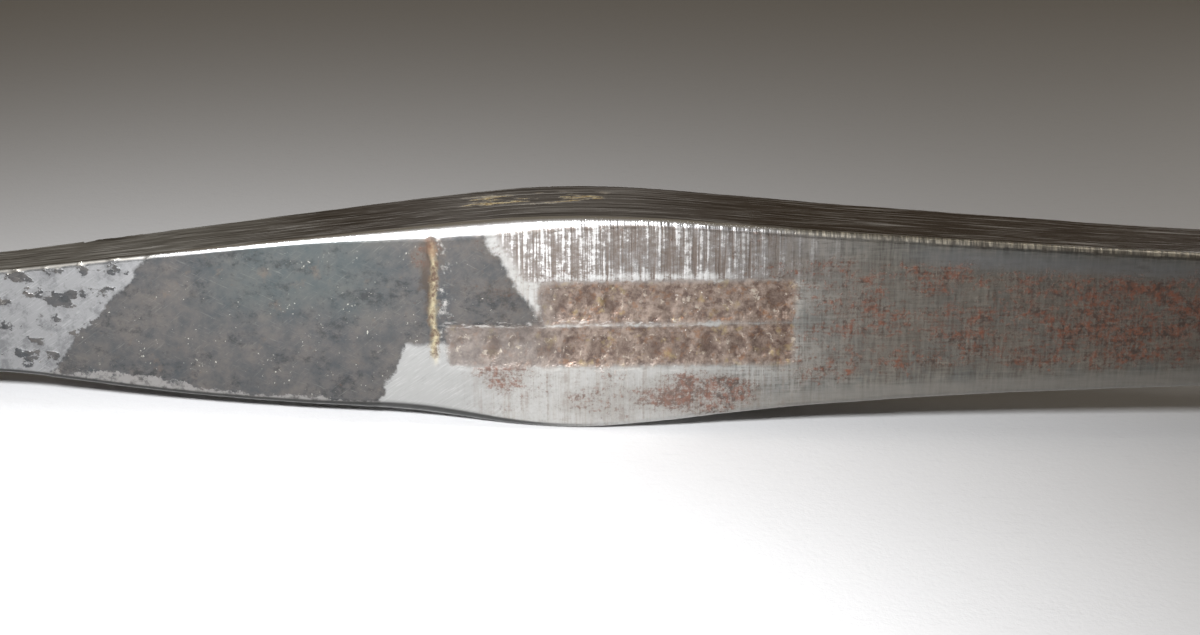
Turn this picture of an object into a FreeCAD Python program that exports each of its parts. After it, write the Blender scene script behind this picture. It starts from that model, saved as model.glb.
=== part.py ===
"""Edge creaser, a leatherworking hand tool, as separate pieces.

A forged and filed steel blade runs from a forked creasing head, through a neck and a wide belly that
carries two sunk bands, to a shank. Its tang is driven into a turned hardwood handle. A brass ferrule keeps
the handle's nose from splitting, a steel bolster washer inside the ferrule's mouth takes the thrust of the
blade's shoulder, and two flush brads pin the ferrule to the wood. The fork's two prongs are nodes of their
own, so that the slot between them stays open in collision. On the bench they are one forging with the blade.

Frame: millimetres. X runs along the tool, from the creasing head (-X) to the butt of the handle (+X). Z is
the direction of the blade's width, up, and Y its thickness. The stamped side faces -Y. The origin is on the
tool's axis, where the ferrule's straight wall begins at its mouth.
"""

import FreeCAD
import Part

import math
import os

Vector = FreeCAD.Vector

# --- driving dimensions: overall ---
steel_reach = 79.5  # ferrule wall to the tip of the guide
belly_from_ferrule = 42.0  # ferrule wall to the widest place of the belly
wood_length = 88.5  # visible wood, ferrule to butt

# --- blade, seen from the side: distances above and below the axis ---
belly_above = 4.55
belly_below = 4.62
shank_above = 2.25  # where the shank meets the washer
shank_below = 3.05
neck_above = 2.20  # where the head begins
neck_below = 2.35

# --- blade, seen from above: thickness ---
belly_thick = 5.2
shank_thick = 3.8
neck_thick = 2.9
toe_thick = 2.7
edge_chamfer = 0.34

# --- creasing head ---
head_length = 13.5  # neck to the tip of the guide
toe_above = 1.75
guide_below = 2.75  # the guide's foot hangs lowest
guide_nose_radius = 2.0
lip_below = 1.75  # the creasing lip rides higher than the guide
lip_set_back = 1.7  # and ends before it
lip_nose_radius = 1.5
slot_width = 1.2  # the distance from the leather's edge to the crease
slot_length = 12.4  # from the tip of the guide to the slot's round end

# --- notch filed across the far top corner, behind the head ---
notch_from_neck = 3.6
notch_length = 1.2
notch_depth = 0.5
notch_down = 1.0
notch_wall_lean = 0.15

# --- sunk panel on the front face: two plain bands ---
panel_depth = 0.12
band_height = 1.65
band_gap = 0.3
panel_right = 8.8  # right-hand end, measured from the belly
upper_band_length = 10.3
lower_band_length = 14.2

# --- tang ---
tang_length = 48.0
tang_high = 3.6
tang_thick = 2.8
tang_tip_high = 1.5
tang_tip_thick = 1.2
tang_straight = 3.0  # parallel stretch through the washer
tang_clearance = 0.05

# --- ferrule ---
ferrule_radius = 6.5
ferrule_wall = 0.8
ferrule_straight = 12.0
ferrule_mouth_round = 0.6
ferrule_lip_reach = 1.1  # how far the turned-in lip covers the washer's rim
bead_length = 1.5
bead_height = 0.45
turn_clearance = 0.02  # between turned pieces

# --- bolster washer ---
washer_thick = 1.2

# --- brads ---
brad_radius = 0.5
brad_length = 3.6
brad_point_length = 1.2
brad_point_radius = 0.1
brad_head_radius = 0.85
brad_head_thick = 0.35
brad_count = 2

# --- handle ---
handle_shoulder_step = 0.35  # wood stands proud of the ferrule's bead
handle_neck_radius = 6.7
handle_neck_from_ferrule = 11.0
handle_swell_radius = 10.0
handle_swell_from_butt = 27.0
butt_flat_radius = 3.4
butt_round_start = 7.0  # the end dome turns in over this length
butt_round_radius = 8.2  # and has this radius where it does
groove_depth = 0.35
groove_width = 0.8
groove_spacing = 2.2
groove_count = 2

# --- places that follow ---
tip_x = -steel_reach
belly_x = -belly_from_ferrule
neck_x = tip_x + head_length
slot_root_x = tip_x + slot_length - slot_width / 2  # centre of the slot's round end
washer_front = -ferrule_mouth_round + ferrule_wall
washer_back = washer_front + washer_thick
ferrule_back = ferrule_straight + bead_length
ferrule_bore = ferrule_radius - ferrule_wall
butt_x = ferrule_back + wood_length
far = 200.0  # past anything on the tool

# Shape of the blade's flanks between the belly and a waist: shares of the way along, from the belly, and of
# the rise above the waist. The back edge and the sides are soft peaks, and the edge below a sharper one.
upper_to_neck = [(0.13, 0.96), (0.22, 0.87), (0.31, 0.775), (0.48, 0.59), (0.65, 0.39), (0.83, 0.195)]
upper_to_shank = [(0.07, 0.945), (0.13, 0.845), (0.23, 0.68), (0.42, 0.41), (0.62, 0.15), (0.82, 0.04)]
lower_to_neck = [(0.05, 0.99), (0.13, 0.925), (0.22, 0.82), (0.31, 0.70), (0.48, 0.55), (0.65, 0.43),
                 (0.83, 0.215)]
lower_to_shank = [(0.02, 0.985), (0.07, 0.87), (0.13, 0.69), (0.23, 0.46), (0.42, 0.23), (0.62, 0.11),
                  (0.82, 0.04)]


def between(a, b, share):
    return a + (b - a) * share


def spline(points):
    """An edge through the given points."""
    curve = Part.BSplineCurve()
    curve.interpolate([Vector(*p) for p in points])
    return curve.toShape()


def smooth(points, first_way, last_way):
    """An edge through (x, radius) points that leaves and arrives in the given directions."""
    curve = Part.BSplineCurve()
    curve.interpolate(Points=[Vector(x, 0, r) for x, r in points], InitialTangent=Vector(*first_way),
                      FinalTangent=Vector(*last_way))
    return curve.toShape()


def lines(points):
    """Straight edges joining the points in turn."""
    corners = [Vector(*p) for p in points]
    return [Part.makeLine(a, b) for a, b in zip(corners, corners[1:])]


def arc(start, middle, end):
    return Part.Arc(Vector(*start), Vector(*middle), Vector(*end)).toShape()


def prism(edges, start, end, way):
    """The closed outline of the edges as a solid, from start to end along a unit direction."""
    face = Part.Face(Part.Wire(Part.__sortEdges__(edges)))
    face.translate(Vector(*way) * start)
    return face.extrude(Vector(*way) * (end - start))


def revolved(edges):
    """The closed half outline of the edges turned about X."""
    return Part.Face(Part.Wire(edges)).revolve(Vector(0, 0, 0), Vector(1, 0, 0), 360)


def turned(points):
    """A solid of revolution about X from (x, radius) corners joined by straight lines."""
    corners = [(x, 0, r) for x, r in points]
    return revolved(lines(corners + corners[:1]))


def flank(x_waist, belly, waist, shape):
    """Outline points from beside the belly to beside the waist."""
    return [(between(belly_x, x_waist, along), between(waist, belly, height)) for along, height in shape]


def edge_line(belly, neck, shank, toe, to_neck, to_shank):
    """(x, distance) points of one long edge of the blade, from the toe to the shoulder."""
    left = flank(neck_x, belly, neck, to_neck)
    right = flank(washer_front, belly, shank, to_shank)
    middle_of_head = (between(tip_x, neck_x, 0.5), between(toe, neck, 0.42))
    return [(tip_x, toe), middle_of_head, (neck_x, neck), *reversed(left), (belly_x, belly), *right,
            (washer_front, shank)]


def side_view():
    """The blade's outline in X and Z, as deep as the tool."""
    upper = edge_line(belly_above, neck_above, shank_above, toe_above, upper_to_neck, upper_to_shank)
    lower = edge_line(belly_below, neck_below, shank_below, guide_below, lower_to_neck, lower_to_shank)
    above = [(x, 0, z) for x, z in upper]
    below = [(x, 0, -z) for x, z in lower]
    ends = lines([above[0], below[0]]) + lines([above[-1], below[-1]])
    return prism([spline(above), spline(below), *ends], -far, far, (0, 1, 0))


def top_view(inset=0.0):
    """The blade's outline in X and Y, the same on both sides, taken in by the inset."""
    half = edge_line(belly_thick / 2, neck_thick / 2, shank_thick / 2, toe_thick / 2,
                     upper_to_neck, upper_to_shank)
    back = [(x, y - inset, 0) for x, y in half]
    front = [(x, -y + inset, 0) for x, y in half]
    ends = lines([back[0], front[0]]) + lines([back[-1], front[-1]])
    return prism([spline(back), spline(front), *ends], -far, far, (0, 0, 1))


def long_edges(solid):
    """The edges that run the length of the blade."""
    return [e for e in solid.Edges if e.BoundBox.XLength > steel_reach / 2]


def past_nose(x_tip, radius, above, below, y_start, y_end):
    """What is filed away past a nose rounded at both corners, for a head that high above and below."""
    inset = radius * (1 - math.sqrt(0.5))
    x_round = x_tip + radius
    high_arc = arc((x_round, 0, above), (x_tip + inset, 0, above - inset), (x_tip, 0, above - radius))
    low_arc = arc((x_tip, 0, radius - below), (x_tip + inset, 0, inset - below), (x_round, 0, -below))
    nose = lines([(x_tip, 0, above - radius), (x_tip, 0, radius - below)])
    around = lines([(x_round, 0, -below), (x_round, 0, -far), (x_tip - far, 0, -far), (x_tip - far, 0, far),
                    (x_round, 0, far), (x_round, 0, above)])
    return prism([high_arc, *nose, low_arc, *around], y_start, y_end, (0, 1, 0))


def under_lip():
    """What is filed away under the creasing lip, on the front side of the slot only."""
    heel = (slot_root_x, 0, -neck_below)
    middle = (between(tip_x, slot_root_x, 0.55), 0, -between(lip_below, neck_below, 0.3))
    toe = (tip_x + lip_nose_radius, 0, -lip_below)
    around = lines([toe, (tip_x - far, 0, -lip_below), (tip_x - far, 0, -far), (slot_root_x, 0, -far), heel])
    return prism([spline([heel, middle, toe]), *around], -far, 0, (0, 1, 0))


def slot():
    """The gap of the fork, open at the tip and round at its root."""
    gap = Part.makeBox(far, slot_width, 2 * far, Vector(slot_root_x - far, -slot_width / 2, -far))
    root = Part.makeCylinder(slot_width / 2, 2 * far, Vector(slot_root_x, 0, -far))
    return gap.fuse(root)


def notch():
    """A small file nick in the far top corner, steep towards the head and shallow towards the belly."""
    x = neck_x + notch_from_neck
    share = notch_from_neck / (belly_x - neck_x)
    height = between(neck_above, belly_above, share)
    back = between(neck_thick, belly_thick, share) / 2
    floor = (x, back - notch_depth, 0)
    wall_top = (x - notch_wall_lean, back + notch_depth, 0)
    ramp_top = (x + 2 * notch_length, back + notch_depth, 0)
    return prism(lines([wall_top, floor, ramp_top, wall_top]), height - notch_down, height + far, (0, 0, 1))


def panel():
    """Two plain sunk bands that follow the front face."""
    right = belly_x + panel_right
    upper = Part.makeBox(upper_band_length, far, band_height,
                         Vector(right - upper_band_length, -far, band_gap / 2))
    lower = Part.makeBox(lower_band_length, far, band_height,
                         Vector(right - lower_band_length, -far, -band_gap / 2 - band_height))
    return upper.fuse(lower).cut(top_view(panel_depth))


def tang(grow=0.0):
    """A square taper with a parallel stretch through the washer, grown all round by a clearance."""
    def section(x, high, thick):
        z, y = high / 2 + grow, thick / 2 + grow
        return Part.Wire(lines([(x, -y, -z), (x, y, -z), (x, y, z), (x, -y, z), (x, -y, -z)]))

    start = section(washer_front, tang_high, tang_thick)
    taper = section(washer_front + tang_straight, tang_high, tang_thick)
    tip = section(washer_front + tang_length + grow, tang_tip_high, tang_tip_thick)
    straight = Part.makeLoft([start, taper], True, True)
    return straight.fuse(Part.makeLoft([taper, tip], True, True)).removeSplitter()


def forging():
    """Head, neck, belly, shank and tang as they leave the anvil and the file."""
    body = side_view().common(top_view())
    body = body.makeChamfer(edge_chamfer, long_edges(body))
    body = body.cut(past_nose(tip_x, guide_nose_radius, toe_above, guide_below, -far, far)).cut(slot())
    body = body.cut(past_nose(tip_x + lip_set_back, lip_nose_radius, toe_above, lip_below, -far, 0))
    body = body.cut(under_lip()).cut(notch()).cut(panel())
    return body.fuse(tang()).removeSplitter()


def blade_and_prongs():
    """The forging parted at the slot's root: the blade, the front creasing prong and the far guide prong."""
    whole = forging()
    head = Part.makeBox(far, 2 * far, 2 * far, Vector(slot_root_x - far, -far, -far))
    front_prong, far_prong = sorted(whole.common(head).Solids, key=lambda s: s.CenterOfMass.y)
    return whole.cut(head), front_prong, far_prong


def washer():
    """A disc behind the ferrule's lip with a square-cut hole for the tang."""
    rim = ferrule_bore - turn_clearance
    disc = turned([(washer_front, 0), (washer_front, rim), (washer_back, rim), (washer_back, 0)])
    return disc.cut(tang(tang_clearance))


def ferrule():
    """A drawn tube with a rounded, turned-in mouth and a rolled bead at its back edge."""
    lip_radius = ferrule_bore - ferrule_lip_reach
    diagonal = ferrule_mouth_round * math.sqrt(0.5)
    shoulder = ferrule_radius - ferrule_mouth_round
    mouth = arc((-ferrule_mouth_round, 0, shoulder), (-diagonal, 0, shoulder + diagonal),
                (0, 0, ferrule_radius))
    wall = lines([(0, 0, ferrule_radius), (ferrule_straight, 0, ferrule_radius)])
    bead_top = (ferrule_straight + bead_length / 2, 0, ferrule_radius + bead_height)
    bead = arc((ferrule_straight, 0, ferrule_radius), bead_top, (ferrule_back, 0, ferrule_radius))
    inside = lines([(ferrule_back, 0, ferrule_radius), (ferrule_back, 0, ferrule_bore),
                    (washer_front, 0, ferrule_bore), (washer_front, 0, lip_radius),
                    (-ferrule_mouth_round, 0, lip_radius), (-ferrule_mouth_round, 0, shoulder)])
    return revolved([mouth, *wall, bead, *inside]).cut(brad_holes())


def brad(grow=0.0):
    """One brad pointing into the wood from -Y, its head still proud of the ferrule."""
    inwards = Vector(0, 1, 0)
    wall = Vector(ferrule_straight / 2, -ferrule_radius, 0)
    shank_end = wall + inwards * (brad_length - brad_point_length)
    shank = Part.makeCylinder(brad_radius + grow, brad_length - brad_point_length, wall, inwards)
    point = Part.makeCone(brad_radius + grow, brad_point_radius, brad_point_length + grow,
                          shank_end, inwards)
    head = Part.makeCylinder(brad_head_radius + grow, 2 * brad_head_thick + grow,
                             wall - inwards * brad_head_thick, inwards)
    return shank.fuse(point).fuse(head)


def around_axis(solid):
    """A copy of the solid for each brad, spaced evenly about X."""
    copies = []
    for i in range(brad_count):
        spaced = solid.copy()
        spaced.rotate(Vector(0, 0, 0), Vector(1, 0, 0), 360.0 * i / brad_count)
        copies.append(spaced)
    return copies


def brad_holes():
    return Part.makeCompound(around_axis(brad(turn_clearance)))


def brads():
    """The brads, filed flush with the ferrule's wall."""
    wall = Part.makeCylinder(ferrule_radius, 2 * far, Vector(-far, 0, 0), Vector(1, 0, 0))
    return Part.makeCompound([b.common(wall) for b in around_axis(brad())])


def grooves(swell_x):
    """Turned V grooves round the swell."""
    rim = handle_swell_radius + groove_depth
    floor = handle_swell_radius - groove_depth
    rings = []
    for i in range(groove_count):
        middle = swell_x + (i - (groove_count - 1) / 2) * groove_spacing
        rings.append(turned([(middle - groove_width, rim), (middle, floor), (middle + groove_width, rim)]))
    return Part.makeCompound(rings)


def handle():
    """Turned hardwood: a tenon in the ferrule, a shoulder, a slim neck, a swell and a domed butt."""
    tenon = ferrule_bore - turn_clearance
    shoulder = ferrule_radius + bead_height + handle_shoulder_step
    neck_at = ferrule_back + handle_neck_from_ferrule
    swell_x = butt_x - handle_swell_from_butt
    along = (1, 0, 0)
    grip = smooth([(ferrule_back, shoulder), (neck_at, handle_neck_radius), (swell_x, handle_swell_radius)],
                  (1, 0, -0.1), along)
    dome = smooth([(swell_x, handle_swell_radius), (butt_x - butt_round_start, butt_round_radius),
                   (butt_x, butt_flat_radius)], along, (0.3, 0, -1))
    inside = lines([(butt_x, 0, butt_flat_radius), (butt_x, 0, 0), (washer_back, 0, 0),
                    (washer_back, 0, tenon), (ferrule_back, 0, tenon), (ferrule_back, 0, shoulder)])
    body = revolved([grip, dome, *inside])
    return body.cut(grooves(swell_x)).cut(tang(tang_clearance)).cut(brad_holes())


def save(name, shape):
    solids = shape.Solids
    if not solids or not all(s.isValid() and s.isClosed() for s in solids):
        raise RuntimeError(name + " isn't made of valid closed solids")
    shape = solids[0] if len(solids) == 1 else Part.makeCompound(solids)
    shape.exportStep(os.path.join("parts", name + ".step"))
    print(name, len(solids), round(shape.Volume, 1))


os.makedirs("parts", exist_ok=True)
blade, creasing_prong, guide_prong = blade_and_prongs()
save("blade", blade)
save("creasing_prong", creasing_prong)
save("guide_prong", guide_prong)
save("bolster_washer", washer())
save("ferrule", ferrule())
save("ferrule_brads", brads())
save("handle", handle())
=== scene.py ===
"""An edge creaser lying on a pale sheet, seen close up along the broad face of its blade.

The steel is a filed and struck forging with heat scale, rust and file marks. Its skin is wrapped round the
CAD blade and given its relief by a geometry tree, then the fork, lip and notch are cut. The handle and the
ferrule are turned by another geometry tree, from outlines read off the CAD. Lengths inside the patterns are
in millimetres.
"""

import math

import bmesh
import bpy
import numpy as np
from mathutils import Matrix, Quaternion, Vector
from mathutils.bvhtree import BVHTree


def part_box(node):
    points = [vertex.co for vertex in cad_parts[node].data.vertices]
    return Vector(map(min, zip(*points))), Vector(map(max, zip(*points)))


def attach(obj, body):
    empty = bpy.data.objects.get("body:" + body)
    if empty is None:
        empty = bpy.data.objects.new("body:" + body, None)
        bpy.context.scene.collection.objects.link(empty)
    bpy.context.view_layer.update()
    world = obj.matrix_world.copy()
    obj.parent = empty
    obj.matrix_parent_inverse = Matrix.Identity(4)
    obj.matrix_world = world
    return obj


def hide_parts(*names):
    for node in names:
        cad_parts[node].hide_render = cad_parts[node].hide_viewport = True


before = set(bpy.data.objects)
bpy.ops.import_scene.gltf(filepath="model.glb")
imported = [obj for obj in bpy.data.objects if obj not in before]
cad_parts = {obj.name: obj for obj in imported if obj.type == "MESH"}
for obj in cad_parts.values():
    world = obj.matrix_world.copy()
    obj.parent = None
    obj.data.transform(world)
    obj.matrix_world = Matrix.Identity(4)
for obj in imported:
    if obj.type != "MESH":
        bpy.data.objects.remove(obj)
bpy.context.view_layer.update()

MM = 0.001
FAR = 1.0  # metres, outside everything

# --- places read off the frame, in metres ---
lip_low, lip_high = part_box("creasing_prong")
guide_low, guide_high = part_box("guide_prong")
washer_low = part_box("bolster_washer")[0]
ferrule_low, ferrule_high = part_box("ferrule")
handle_low, handle_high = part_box("handle")


def corners(mesh):
    """A mesh's vertices as rows of x, y, z."""
    return np.array([v.co for v in mesh.vertices])


blade_corners = corners(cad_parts["blade"].data)
BELLY_X = float(blade_corners[blade_corners[:, 2].argmin(), 0])
TIP_X = guide_low.x
SLOT_ROOT_X = guide_high.x
SHOULDER_X = washer_low.x
NECK_X = SLOT_ROOT_X + 1.1 * MM
NOTCH_FROM_NECK = 3.6 * MM
NOTCH_DEPTH = 0.5 * MM


# --- Arithmetic on node sockets, the same in a shader tree and in a geometry tree ---

def operation(kind):
    """A method that puts one kind of maths node on a field."""
    return lambda field, *others: field.node(kind, *others)


class Field:
    """A number that varies over a piece. Arithmetic on it adds the nodes that work it out."""

    def __init__(self, tree, socket):
        self.tree = tree
        self.socket = socket

    def node(self, kind, *others):
        made = add_node(self.tree, "ShaderNodeMath", enumerate((self, *others)), operation=kind)
        return Field(self.tree, made.outputs[0])

    __add__ = __radd__ = operation("ADD")
    __mul__ = __rmul__ = operation("MULTIPLY")
    __sub__ = operation("SUBTRACT")
    __truediv__ = operation("DIVIDE")
    least = operation("MINIMUM")
    most = operation("MAXIMUM")
    size = operation("ABSOLUTE")
    power = operation("POWER")
    sine = operation("SINE")
    cosine = operation("COSINE")
    root = operation("SQRT")
    rounded = operation("ROUND")

    def __neg__(self):
        return self * -1.0

    def __rsub__(self, other):
        return -self + other

    def wrapped(self, period):
        """The remainder after whole periods, from 0 to the period."""
        return self.node("WRAP", period, 0.0)

    def rise(self, low, high):
        """0 below low, 1 above high and a smooth step between. It falls where low is the larger."""
        ends = (low, high, 0.0, 1.0) if low < high else (high, low, 1.0, 0.0)
        feeds = dict(zip(("Value", "From Min", "From Max", "To Min", "To Max"), (self, *ends)))
        made = add_node(self.tree, "ShaderNodeMapRange", feeds, interpolation_type="SMOOTHSTEP")
        return Field(self.tree, made.outputs["Result"])

    def band(self, low, high, soft):
        """1 between low and high, fading over the soft distance at both ends."""
        return self.rise(low - soft, low + soft) * self.rise(high + soft, high - soft)


def feed(tree, socket, value):
    """Links a field or socket into a node's input, or sets a plain number there."""
    if isinstance(value, Field):
        tree.links.new(value.socket, socket)
    elif isinstance(value, bpy.types.NodeSocket):
        tree.links.new(value, socket)
    else:
        socket.default_value = value


def add_node(tree, kind, feeds=(), **settings):
    """Adds a node with its settings, and feeds its inputs, each given by name or by place."""
    node = tree.nodes.new(kind)
    for key, value in settings.items():
        setattr(node, key, value)
    for name, value in dict(feeds).items():
        feed(tree, node.inputs[name], value)
    return node


def apart(tree, vector):
    """The three numbers of a vector as fields."""
    return [Field(tree, socket) for socket in add_node(tree, "ShaderNodeSeparateXYZ", {0: vector}).outputs]


def mixed(tree, share, below, above):
    """A colour between two others, each of them a socket or red, green and blue."""
    ends = [(*colour, 1.0) if isinstance(colour, tuple) else colour for colour in (below, above)]
    return add_node(tree, "ShaderNodeMix", {0: share, 6: ends[0], 7: ends[1]}, data_type="RGBA").outputs[2]


class Surface:
    """Places on a piece in millimetres, and the noises that are read there."""

    def __init__(self, tree, place):
        self.tree = tree
        scaled = add_node(tree, "ShaderNodeVectorMath", {0: place, "Scale": 1 / MM}, operation="SCALE")
        self.x, self.y, self.z = apart(tree, scaled.outputs[0])
        self.along = self.x - BELLY_X / MM

    def vector(self, x, y, z):
        return add_node(self.tree, "ShaderNodeCombineXYZ", {0: x, 1: y, 2: z}).outputs[0]

    def noise(self, size, detail=2.0, roughness=0.5, seed=0.0, lean=0.0):
        """Smooth noise between -1 and 1 with lumps of the given size, one number or one each for X, Y and Z.
        A lean, in degrees, turns a drawn-out pattern about Y."""
        sx, sy, sz = size if isinstance(size, tuple) else (size, size, size)
        x, z = self.x, self.z
        if lean:
            c, d = math.cos(math.radians(lean)), math.sin(math.radians(lean))
            x, z = x * c + z * d, z * c - x * d
        place = self.vector(x / sx + seed, self.y / sy - seed, z / sz + 2.3 * seed)
        made = add_node(self.tree, "ShaderNodeTexNoise",
                        {"Vector": place, "Scale": 1.0, "Detail": detail, "Roughness": roughness})
        return Field(self.tree, made.outputs[0]) * 2.0 - 1.0

    def grains(self, size, seed=0.0):
        """Distance to the nearest of scattered points, in units of their spacing."""
        place = self.vector(self.x / size + seed, self.y / size, self.z / size - seed)
        made = add_node(self.tree, "ShaderNodeTexVoronoi", {"Vector": place, "Scale": 1.0})
        return Field(self.tree, made.outputs["Distance"])


class Finish:
    """A material with one Principled shader, and layers of colour, roughness and relief laid on in turn."""

    def __init__(self, name, metal, roughness):
        self.material = bpy.data.materials.new(name)
        self.material.use_nodes = True
        self.tree = self.material.node_tree
        self.tree.nodes.clear()
        self.shader = self.tree.nodes.new("ShaderNodeBsdfPrincipled")
        add_node(self.tree, "ShaderNodeOutputMaterial", {"Surface": self.shader.outputs[0]})
        places = self.tree.nodes.new("ShaderNodeTexCoord")
        self.surface = Surface(self.tree, places.outputs["Object"])
        self.facing = apart(self.tree, places.outputs["Normal"])
        self.colour = None
        self.metal = metal
        self.roughness = roughness
        self.relief = None

    def read(self, attribute):
        """A number stored on the piece's own mesh."""
        made = add_node(self.tree, "ShaderNodeAttribute", attribute_name=attribute)
        return Field(self.tree, made.outputs["Fac"])

    def mixed(self, share, below, above):
        return mixed(self.tree, share, below, above)

    def tinted(self, colour, *layers):
        """A colour with other colours over it, each as thick as its share."""
        for share, over in layers:
            colour = self.mixed(share, colour, over)
        return colour

    def blended(self, share, below, above):
        """A number between below and above, either of which may be a field."""
        return share * above + (1.0 - share) * below

    def lay(self, share, colour, metal=None, roughness=None):
        """Lays a finish over what is there, as thick as the share says."""
        self.colour = colour if self.colour is None else self.mixed(share, self.colour, colour)
        if metal is not None:
            self.metal = self.blended(share, self.metal, metal)
        if roughness is not None:
            self.roughness = self.blended(share, self.roughness, roughness)

    def raise_by(self, height):
        """Adds relief, in millimetres."""
        self.relief = height if self.relief is None else self.relief + height

    def done(self):
        for name, value in (("Base Color", self.colour), ("Metallic", self.metal),
                            ("Roughness", self.roughness)):
            feed(self.tree, self.shader.inputs[name], value)
        if self.relief is not None:
            bump = add_node(self.tree, "ShaderNodeBump", {"Distance": MM, "Height": self.relief})
            self.tree.links.new(bump.outputs[0], self.shader.inputs["Normal"])
        return self.material


# --- Where things lie on the blade. Distances along it are from the belly, towards the handle. ---

PANEL_RIGHT = 8.8
UPPER_BAND = (-1.5, 0.15, 1.8)  # left end, lower edge, upper edge
LOWER_BAND = (-5.4, -1.8, -0.15)
PUNCH_PITCH = 1.12
PUNCH_RADIUS = 0.5
SCORE_AT = -6.0
SCORE_ENDS = (-1.6, 3.6)


def punch_rows(s):
    """The two sunk bands and the plain round punch marks worn into them, each as a share of its depth."""
    wander = s.noise(1.5, 2.0, 0.6, seed=3.1) * 0.26 + s.noise(0.36, 4.0, 0.7, seed=3.7) * 0.2
    sunk = 0.0
    marks = 0.0
    for left, low, high in (UPPER_BAND, LOWER_BAND):
        inside = (s.along + wander).band(left, PANEL_RIGHT, 0.3) * (s.z + wander).band(low, high, 0.22)
        off_centre = (s.along + wander * 0.5 - left).wrapped(PUNCH_PITCH) - PUNCH_PITCH / 2
        height = s.z + wander * 0.5 - (low + high) / 2
        away = (off_centre * off_centre + height * height * 0.62).root()
        away = away + s.noise(0.3, 3.0, 0.6, seed=low) * 0.16
        wear = s.noise(1.7, 1.0, seed=high * 5.0).rise(-0.55, 0.15)
        marks = inside * away.rise(PUNCH_RADIUS, PUNCH_RADIUS - 0.22) * wear + marks
        sunk = inside + sunk
    return sunk, marks


def heat_scale(s):
    """Dark oxide on the head's side of the belly, with a ragged edge and a corner polished away below."""
    ragged = s.noise(1.5, 5.0, 0.62, seed=1.7) * 0.75 + s.noise(0.32, 4.0, 0.7, seed=1.1) * 0.28
    along = s.along + ragged
    z = s.z + s.noise(1.3, 5.0, 0.6, seed=8.2) * 0.45
    left = along - (z.least(2.6) * 0.893 - 19.95)
    right = z * -0.6 - 1.5 - along
    corner = along - (z * 0.5 - 6.75)
    polished = corner.rise(-0.1, 0.1) * z.rise(-0.7, -0.95)
    return left.rise(-0.1, 0.1) * right.rise(-0.12, 0.2) * (1.0 - polished)


def scale_islands(s):
    """Flakes of the same scale left standing on the bright neck."""
    flakes = s.noise((1.25, 1.0, 0.85), 5.0, 0.66, seed=5.3)
    return flakes.rise(0.09, 0.15) * s.along.band(-27.0, -17.0, 1.0)


def file_marks(s):
    """Coarse strokes across the belly, above and below the bands: how deep, and where."""
    strokes = s.noise((0.105, 6.0, 3.6), 2.0, 0.6, seed=2.2)
    strokes = strokes + s.noise((0.36, 6.0, 2.0), 2.0, 0.6, seed=6.1) * 0.5
    above = s.z.rise(1.75, 1.95) * (s.along + s.z * 0.6).rise(-1.5, -0.7) * s.along.rise(12.0, 6.0)
    below = s.z.rise(-1.75, -2.2) * s.along.band(-4.5, 9.0, 2.0)
    return strokes, above, below


def scored_line(s):
    """A single scribed stroke across the blade beside the bands."""
    wander = s.noise(1.2, 3.0, 0.6, seed=4.4) * 0.26
    return (s.along - SCORE_AT + wander).size(), s.z.band(*SCORE_ENDS, 0.4)


def patch(s, along, z, half_length, half_height):
    """A ragged spot on the blade, 1 at its middle."""
    off_x = (s.along - along) / half_length
    off_z = (s.z - z) / half_height
    return (1.0 - off_x * off_x - off_z * off_z).rise(-0.7, 0.9)


def rust_density(s, above_bottom, below_top):
    """How much of the steel has rusted, from 0 to 1."""
    on_shank = s.along.rise(6.5, 11.0) * 0.36 + s.along.rise(14.0, 23.0) * 0.14
    spared = above_bottom.rise(0.35, 1.7) * below_top.rise(0.45, 1.5)
    spots = patch(s, 4.8, -3.1, 2.6, 0.95) * 0.34 + patch(s, 0.9, -3.4, 1.7, 0.8) * 0.2
    spots = spots + patch(s, -3.3, -2.0, 1.3, 0.9) * 0.24 + patch(s, -6.2, 2.9, 0.8, 0.8) * 0.36
    belly = s.along.band(-4.5, 9.0, 1.6) * 0.17
    return on_shank * spared + spots + belly


# --- Finishes ---

# The colours that make up most of the finishes
BARE_STEEL = (0.53, 0.53, 0.515)
BROWNED_STEEL = (0.205, 0.193, 0.17)
CUT_METAL = (0.76, 0.75, 0.74)
BLACK_GRIME = (0.046, 0.048, 0.051)
# Polished steel on the arris, made near white as a painted highlight
POLISHED_ARRIS_HIGHLIGHT = (0.9, 0.9, 0.92)
BRIGHT_BRASS = (0.7, 0.5, 0.21)
EARLY_WOOD = (0.215, 0.078, 0.032)
LATE_WOOD = (0.085, 0.026, 0.012)
RUST_BLACK = (0.028, 0.014, 0.01)
RUST_RED = (0.135, 0.042, 0.02)
BRIGHT_GREY = (0.235, 0.24, 0.245)
BROWN_FILM = (0.135, 0.105, 0.08)


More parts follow.
